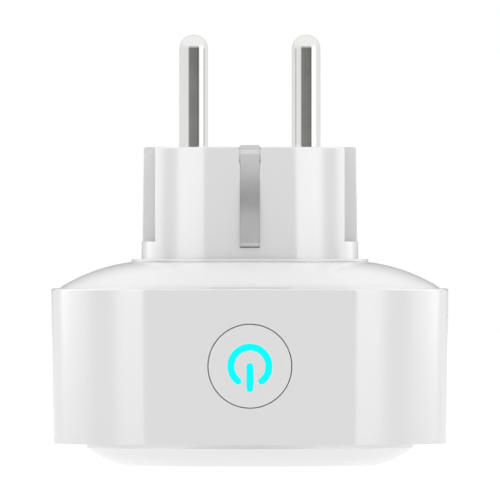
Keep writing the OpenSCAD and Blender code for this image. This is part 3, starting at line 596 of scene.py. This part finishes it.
def makePlugBody(v):
    face = faceZ / mm
    body, top = prism(flattedDisc(v["radius"], v["flat"], v["softening"], v["flangeHigh"] - 0.2, 224, 40),
                      face - v["flangeHigh"] + 0.2 - v["topSoft"])
    for i in range(3):  # the soft edge round the face
        a, b = math.radians(30 * i), math.radians(30 * (i + 1))
        insetFace(body, top, v["topSoft"] * (math.cos(a) - math.cos(b)),
                  v["topSoft"] * (math.sin(b) - math.sin(a)))
    for vert in body.verts:
        t = (face - vert.co.z / mm) / (face - v["flangeHigh"])
        vert.co.x *= 1 + (v["foot"] / v["radius"] - 1) * min(max(t, 0), 1)
    plug = asObject("plugBody", body)
    low, high = v["flangeLow"], v["flangeHigh"]
    flange = spunForm([(0, low), (v["flange"] - 0.08, low), (v["flange"], low + 0.08),
                       (v["flange"], high - 0.1), (v["flange"] - 0.1, high), (0, high)], 224)
    combine(plug, [flange], "UNION")
    cuts = []
    reach = v["flange"] + 2
    for side in (-1, 1):
        near, far = sorted((side * v["channelX"], side * reach))
        cuts.append(block((near, -v["channelHalf"], v["channelLow"]), (far, v["channelHalf"], face + 1)))
        for half in (-1, 1):  # the rebates beside the ribs
            y = sorted((half * (v["channelHalf"] + v["fin"]), half * reach))
            cuts.append(block((near, y[0], v["channelLow"]), (far, y[1], face + 1)))
        cuts.append(rod((side * pinX / mm, 0, face - 4), (side * pinX / mm, 0, face + 1), v["pinHole"], 64))
        # the earth clip's long slot, its wider top and the step in the face
        for wide, inner, bottom, top in ((v["clipHalf"], v["clipY"], v["clipLow"], face - 1),
                                         (v["clipTopHalf"], v["clipY"], face - 2.7, face + 1),
                                         (v["clipTopHalf"], v["clipY"] - 3, face - 0.45, face + 1)):
            y = sorted((side * inner, side * reach))
            cuts.append(block((-wide, y[0], bottom), (wide, y[1], top)))
    cavity = bmesh.new()
    bmesh.ops.create_circle(cavity, cap_ends=True, radius=v["cavityRadius"] * mm, segments=96)
    for axis, limit in ((Vector((1, 0, 0)), v["cavityX"]), (Vector((0, 1, 0)), v["cavityY"])):
        for side in (1, -1):
            bmesh.ops.bisect_plane(cavity, geom=cavity.verts[:] + cavity.edges[:] + cavity.faces[:],
                                   plane_co=axis * side * limit * mm, plane_no=axis * side, clear_outer=True)
    bmesh.ops.translate(cavity, verts=cavity.verts, vec=(0, 0, (low - 1) * mm))
    cuts.append(prism(cavity, face - v["plate"] - low + 1)[0])
    combine(plug, cuts, "DIFFERENCE")
    return plug


plugBody = makePlugBody(plugValues)
finishPiece(plugBody, whitePlastic, "housing", "white_shell", "plug_body", angle=24)
print("plug body made")


pinValues = {"radius": 2.4, "root": 2.5, "collar": 3.4, "plate": 2.6, "collarHeight": 1.2,
             "tail": 1.5, "segments": 96}


def makePin(name, side, v):
    face, tip = faceZ / mm, tipZ / mm
    plate = face - v["plate"]
    low = pinLow.z / mm
    chain = [(0, low), (v["tail"] - 0.3, low), (v["tail"], low + 0.3), (v["tail"], plate - v["collarHeight"]),
             (v["collar"], plate - v["collarHeight"]), (v["collar"], plate - 0.02),
             (v["root"] - 0.02, plate - 0.02),
             (v["root"] - 0.02, face), (v["radius"], face + 0.02)]
    chain += arcChain((0, tip - v["radius"]), v["radius"], 0, 90, 18)
    chain[-1] = (0, tip)
    bm = spunForm(chain, v["segments"])
    bmesh.ops.translate(bm, verts=bm.verts, vec=(side * pinX, 0, 0))
    return asObject(name, bm)


for name, side, node in (("pinLive", 1, "pin_live"), ("pinNeutral", -1, "pin_neutral")):
    finishPiece(makePin(name, side, pinValues), pinNickel, "housing", "pin_nickel", node, angle=35)
print("pins made")


clipValues = {"width": 3.25, "thickness": 0.7, "bend": 0.3, "edge": 0.12}


def makeStrip(name, path, v):
    # a strip of metal bent along points in the YZ plane
    bm = bmesh.new()
    half = v["width"] / 2 * mm
    verts = [bm.verts.new((-half, y * mm, z * mm)) for y, z in path]
    edges = [bm.edges.new(pair) for pair in zip(verts, verts[1:])]
    made = bmesh.ops.extrude_edge_only(bm, edges=edges)
    moved = [g for g in made["geom"] if isinstance(g, bmesh.types.BMVert)]
    bmesh.ops.translate(bm, verts=moved, vec=(2 * half, 0, 0))
    bends = [e for e in bm.edges if len(e.link_faces) == 2 and e.calc_face_angle() > 0.2]
    bmesh.ops.bevel(bm, geom=bends, offset=v["bend"] * mm, offset_type="OFFSET", segments=6, profile=0.5,
                    affect="EDGES", material=-1, clamp_overlap=True)
    bmesh.ops.recalc_face_normals(bm, faces=bm.faces)
    strip = asObject(name, bm)
    wall = strip.modifiers.new("wall", "SOLIDIFY")
    wall.thickness = v["thickness"] * mm
    wall.offset = 0
    wall.use_even_offset = True
    softBevel(strip, v["edge"], 50, 2)
    return strip


def clipPath(side):
    face, low = faceZ / mm, 36.8
    crown = [(16.9 - 1.8 * (1 - i / 12) ** 2.2, face - 0.5 - (face - 42.5) * i / 12) for i in range(13)]
    points = [(13.2, face - 0.05), (14.7, face - 0.05)] + crown + [
        (16.9, low + 0.45), (14.4, low + 0.45), (14.4, 31.6), (15.85, 30.2), (15.85, 28.4)]
    return [(side * y, z) for y, z in points]


for name, side, node in (("earthClipFront", -1, "earth_clip_front"), ("earthClipRear", 1, "earth_clip_rear")):
    clip = makeStrip(name, clipPath(side), clipValues)
    finishPiece(clip, clipMetal, "housing", "clip_metal", node, angle=40)
print("earth clips made")


buttonValues = {"radius": 6.98, "soft": 0.14, "front": 1.2, "skirt": 5.9, "lip": 7.9, "lipStart": 4.1,
                "lipEnd": 4.9, "ring": 3.2, "stroke": 1.15, "gapHalf": 38, "barUp": 0.55, "barLength": 4.9,
                "guide": 5.8, "guideThickness": 0.5}


def iconParts(v, start, depth, grow=0.0):
    # ring, its two round ends and the bar, each as its own closed solid
    parts = []
    half = v["stroke"] / 2 + grow
    y0, y1 = -flatY / mm + start, -flatY / mm + start + depth
    ring = bmesh.new()
    a = math.radians(-90 + v["gapHalf"])
    corners = [(v["ring"] - half, y0), (v["ring"] + half, y0), (v["ring"] + half, y1), (v["ring"] - half, y1)]
    verts = [ring.verts.new((r * mm * math.cos(a), y * mm, r * mm * math.sin(a))) for r, y in corners]
    section = ring.faces.new(verts)
    bmesh.ops.spin(ring, geom=[section], cent=(0, 0, 0), axis=(0, -1, 0), dvec=(0, 0, 0),
                   angle=math.radians(360 - 2 * v["gapHalf"]), steps=72, use_merge=False, use_duplicate=False)
    bmesh.ops.translate(ring, verts=ring.verts, vec=(0, 0, buttonZ))
    bmesh.ops.recalc_face_normals(ring, faces=ring.faces)
    parts.append(ring)
    z = buttonZ / mm
    for side in (-1, 1):
        a = math.radians(-90 + side * v["gapHalf"])
        x, up = v["ring"] * math.cos(a), v["ring"] * math.sin(a)
        parts.append(rod((x, y0, z + up), (x, y1, z + up), half - 0.004, 40))
    top, bottom = v["barUp"] + grow - half, v["barUp"] - v["barLength"] - grow + half
    parts.append(block((-half, y0, z + bottom), (half, y1, z + top)))
    for up in (top, bottom):
        parts.append(rod((0, y0, z + up), (0, y1, z + up), half - 0.004, 40))
    return parts


def makeButton(v):
    depth = v["lipEnd"]
    chain = [(0, 0), (v["radius"] - v["soft"], 0), (v["radius"] - v["soft"] * 0.3, -v["soft"] * 0.3),
             (v["radius"], -v["soft"]), (v["radius"], -v["lipStart"]), (v["lip"], -v["lipStart"]),
             (v["lip"], -depth), (v["skirt"], -depth), (v["skirt"], -v["front"]), (0, -v["front"])]
    bm = spunForm(chain, 160)
    bmesh.ops.rotate(bm, verts=bm.verts, cent=(0, 0, 0), matrix=Matrix.Rotation(math.pi / 2, 3, "X"))
    bmesh.ops.translate(bm, verts=bm.verts, vec=(0, -flatY, buttonZ))
    bmesh.ops.recalc_face_normals(bm, faces=bm.faces)
    cap = asObject("buttonCap", bm)
    return combine(cap, iconParts(v, -1, v["front"] + 2, 0.01), "DIFFERENCE")


def makeIcon(v):
    parts = iconParts(v, 0.0, v["front"] + 0.05)
    icon = asObject("iconGuide", parts[0])
    y, z = -flatY / mm, buttonZ / mm
    plate = rod((0, y + v["front"] + 0.01, z), (0, y + v["front"] + v["guideThickness"], z), v["guide"], 96)
    return combine(icon, parts[1:] + [plate], "UNION")


buttonCap = makeButton(buttonValues)
finishPiece(buttonCap, buttonPlastic, "button", "white_button", "button_cap", angle=30)
iconGuide = makeIcon(buttonValues)
finishPiece(iconGuide, iconLight, "button", "icon_light", "light_guide", angle=30)
print("button made")


springValues = {"travel": 0.4, "weld": 1e-7}


def makeButtonSpring(v):
    # the button's coil, copied from the frame with its doubled points welded and fixed to the housing, held
    # at its inner end by the board; it is not made to shorten as the button goes in
    bm = bmesh.new()
    bm.from_mesh(nodes["button_spring"].data)
    bmesh.ops.remove_doubles(bm, verts=bm.verts, dist=v["weld"])
    spring = asObject("buttonSpring", bm)
    finishPiece(spring, springSteel, "housing", "spring_steel", "button_spring", angle=50)
    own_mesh(spring)
    return spring


makeButtonSpring(springValues)
print("button spring made")


carried = {
    "socket_cup": cupPlastic, "shutter": shutterPlastic, "contact_carrier": carrierPlastic,
    "earth_spring_front": clipMetal, "earth_spring_rear": clipMetal, "earth_ring": clipMetal,
    "contact_live": contactBrass, "contact_neutral": contactBrass, "strap_live": contactBrass,
    "strap_neutral": contactBrass, "cup_screws": screwSteel, "plug_screws": screwSteel,
    "board_screws": screwSteel, "button_board_screws": screwSteel, "centre_screw": screwSteel,
    "shutter_spring": springSteel, "main_board": boardGreen, "button_board": boardGreen,
    "relay": relayPlastic, "capacitor_main": sleeveDark,
    "capacitor_output": sleeveDark, "capacitor_film": filmPlastic, "choke": ferritePlastic,
    "varistor": varistorPlastic, "fuse": fusePlastic, "wireless_module": shieldTin,
    "link_header": blackPlastic, "leds": ledLens, "switch_body": blackPlastic,
    "switch_plunger": plungerPlastic,
}
for nodeName, material in carried.items():
    node = nodes[nodeName]
    if not node.data.materials:
        node.data.materials.append(material)
    for slot in node.material_slots:
        slot.material = material
print("carried parts dressed")


studio = {"floorSize": 6.0, "floorColour": (0.15, 0.15, 0.15, 1), "floorGlow": 0.97, "floorLight": 0.93,
          "level": 0.64, "topLight": 1.0,
          "skyLow": 0.14, "skyHigh": 1.62, "lens": 1600.0, "viewWidth": 0.08452, "aimX": 0.00002,
          "aimZ": 0.03643}
lightValues = {"boxHeight": 1.2, "boxes": [  # name, degrees from the front, degrees wide, strength
    ("softRight", 65, 38, 4.6), ("softLeft", -65, 38, 4.6), ("rimRight", 124, 36, 2.1),
    ("rimLeft", -124, 36, 2.1)]}


def makeFloor(v):
    bm = bmesh.new()
    bmesh.ops.create_grid(bm, x_segments=2, y_segments=2, size=v["floorSize"])
    floor = asObject("floor", bm)
    material, tree, shader = startMaterial("paleFloor")
    shader.inputs["Base Color"].default_value = v["floorColour"]
    shader.inputs["Roughness"].default_value = 0.9
    shader.inputs["Emission Color"].default_value = (1, 1, 1, 1)
    seen = addNode(tree, "ShaderNodeLightPath").outputs["Is Camera Ray"]
    glow = addNode(tree, "ShaderNodeMapRange", {"To Min": v["floorLight"], "To Max": v["floorGlow"]},
                   {"Value": seen}).outputs[0]
    tree.links.new(glow, shader.inputs["Emission Strength"])
    shader.inputs["Specular IOR Level"].default_value = 0
    floor.data.materials.append(material)
    floor.location.z = -0.00002
    return floor


def makeWorld():
    # bright paper all round, dimmer on the camera's side, with a tall soft light to each side
    world = bpy.data.worlds.new("studio")
    bpy.context.scene.world = world
    world.use_nodes = True
    tree = world.node_tree
    tree.nodes.clear()
    place = addNode(tree, "ShaderNodeTexCoord").outputs["Generated"]
    parts = addNode(tree, "ShaderNodeSeparateXYZ", None, {0: place}).outputs
    turn = mathNode(tree, "ARCTAN2", parts["X"], mathNode(tree, "MULTIPLY", parts["Y"], -1))
    along = mathNode(tree, "ADD", mathNode(tree, "DIVIDE", turn, 2 * math.pi), 0.5)
    ramp = addNode(tree, "ShaderNodeValToRGB", None, {"Fac": along})
    ramp.color_ramp.interpolation = "LINEAR"
    stops = [(-180, 0.12), (-170, 0.2), (-158, 1.35), (-46, 1.35), (-38, 0.4), (-25, 0.3), (22, 0.27),
             (38, 0.16), (44, 0.5), (50, 2.1), (84, 2.1), (92, 1.4), (158, 1.4), (170, 0.2), (180, 0.12)]
    peak = 3.0
    elements = ramp.color_ramp.elements
    while len(elements) > 1:
        elements.remove(elements[-1])
    for i, (angle, level) in enumerate(stops):
        spot = elements[0] if i == 0 else elements.new(angle / 360 + 0.5)
        spot.position = angle / 360 + 0.5
        spot.color = (level / peak, level / peak, level / peak, 1)
    side = addNode(tree, "ShaderNodeSeparateColor", None, {0: ramp.outputs["Color"]}).outputs[0]
    side = mathNode(tree, "MULTIPLY", side, peak * studio["level"])
    height = addNode(tree, "ShaderNodeMapRange", {"From Min": 0.1, "From Max": 0.5, "To Min": 0, "To Max": 1},
                     {"Value": parts["Z"]}).outputs[0]
    mirrored = addNode(tree, "ShaderNodeMix", {3: studio["topLight"]}, {0: height, 2: side}).outputs[0]
    sky = addNode(tree, "ShaderNodeMapRange", {"From Min": 0.25, "From Max": 0.8, "To Min": studio["skyLow"],
                                               "To Max": studio["skyHigh"]}, {"Value": parts["Z"]}).outputs[0]
    rays = addNode(tree, "ShaderNodeLightPath").outputs
    level = addNode(tree, "ShaderNodeMix", None, {0: rays["Is Glossy Ray"], 2: sky, 3: mirrored}).outputs[0]
    light = addNode(tree, "ShaderNodeBackground", None, None)
    tree.links.new(level, light.inputs["Strength"])
    paper = addNode(tree, "ShaderNodeBackground", {"Strength": 1.0})
    paper.inputs["Color"].default_value = (1, 1, 1, 1)
    light.inputs["Color"].default_value = (1, 1, 1, 1)
    mix = addNode(tree, "ShaderNodeMixShader", None,
                  {0: rays["Is Camera Ray"], 1: light.outputs[0], 2: paper.outputs[0]})
    addNode(tree, "ShaderNodeOutputWorld", None, {"Surface": mix.outputs[0]})
    world.cycles.sampling_method = "NONE"
    return world


def makeSoftLights(v):
    # tall soft boxes whose sheen is seen only on the white mouldings
    whites = bpy.data.collections.new("whiteMouldings")
    for piece in (frontShell, rearCover, plugBody, buttonCap):
        whites.objects.link(piece)
    for name, angle, spread, glow in v["boxes"]:
        data = bpy.data.lights.new(name, "AREA")
        data.shape = "RECTANGLE"
        data.size = 2 * math.tan(math.radians(spread / 2))
        data.size_y = v["boxHeight"]
        data.energy = glow * math.pi * data.size * data.size_y
        light = bpy.data.objects.new(name, data)
        turn = math.radians(angle)
        light.location = (math.sin(turn), -math.cos(turn), v["boxHeight"] / 2 + 0.01)
        aim = Vector((0, 0, light.location.z)) - light.location
        light.rotation_euler = aim.to_track_quat("-Z", "Y").to_euler()
        light.visible_diffuse = False
        light.visible_camera = False
        light.light_linking.receiver_collection = whites
        bpy.context.scene.collection.objects.link(light)


def makeCamera(v):
    data = bpy.data.cameras.new("camera")
    data.lens = v["lens"]
    data.sensor_width = 36
    distance = v["viewWidth"] * v["lens"] / 36
    data.clip_start, data.clip_end = 0.05, 20
    camera = bpy.data.objects.new("camera", data)
    camera.location = (v["aimX"], -distance, v["aimZ"])
    camera.rotation_euler = (math.pi / 2, 0, 0)
    bpy.context.scene.collection.objects.link(camera)
    bpy.context.scene.camera = camera
    return camera


makeFloor(studio)
makeWorld()
makeSoftLights(lightValues)
makeCamera(studio)
bpy.context.scene.view_settings.view_transform = "Standard"
print("stage ready")
